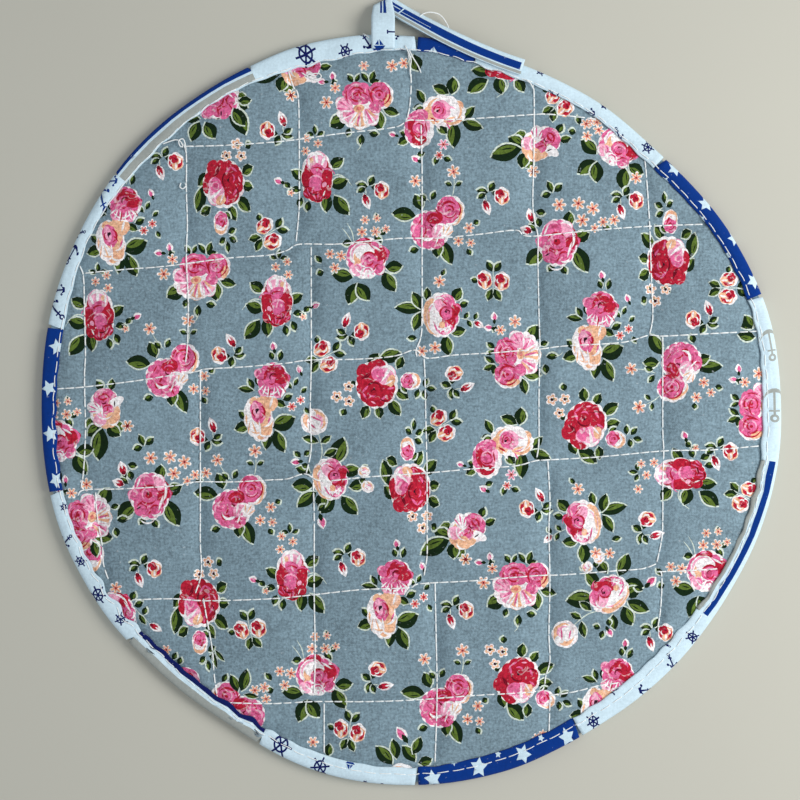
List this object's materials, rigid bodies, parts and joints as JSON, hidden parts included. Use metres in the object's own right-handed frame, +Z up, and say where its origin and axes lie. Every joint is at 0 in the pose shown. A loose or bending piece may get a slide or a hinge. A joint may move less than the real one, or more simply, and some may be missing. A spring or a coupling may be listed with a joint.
{
  "type": "round quilted table mat with hanging loop",
  "caption": "Round quilted cotton mat with a rose print top, pieced bias-bound edge and a folded hanging loop.",
  "frame": {"origin": "middle of the mat's flat underside, on the surface that it lies on", "axes": "+Z up out of the quilted face, +Y towards the hanging loop, +X to the right of the loop seen from above"},
  "size_m": [0.3274, 0.3497, 0.0077],
  "materials": {
    "printed_quilt": "matte printed cotton, quilted",
    "binding_cloth": "matte printed cotton strip",
    "loop_cloth": "matte printed cotton strip",
    "sewing_thread": "white sewing thread"
  },
  "bodies": {
    "root": {"quilted_panel": "printed_quilt", "edge_binding": "binding_cloth", "hanging_loop": "loop_cloth"}
  },
  "joints": []
}
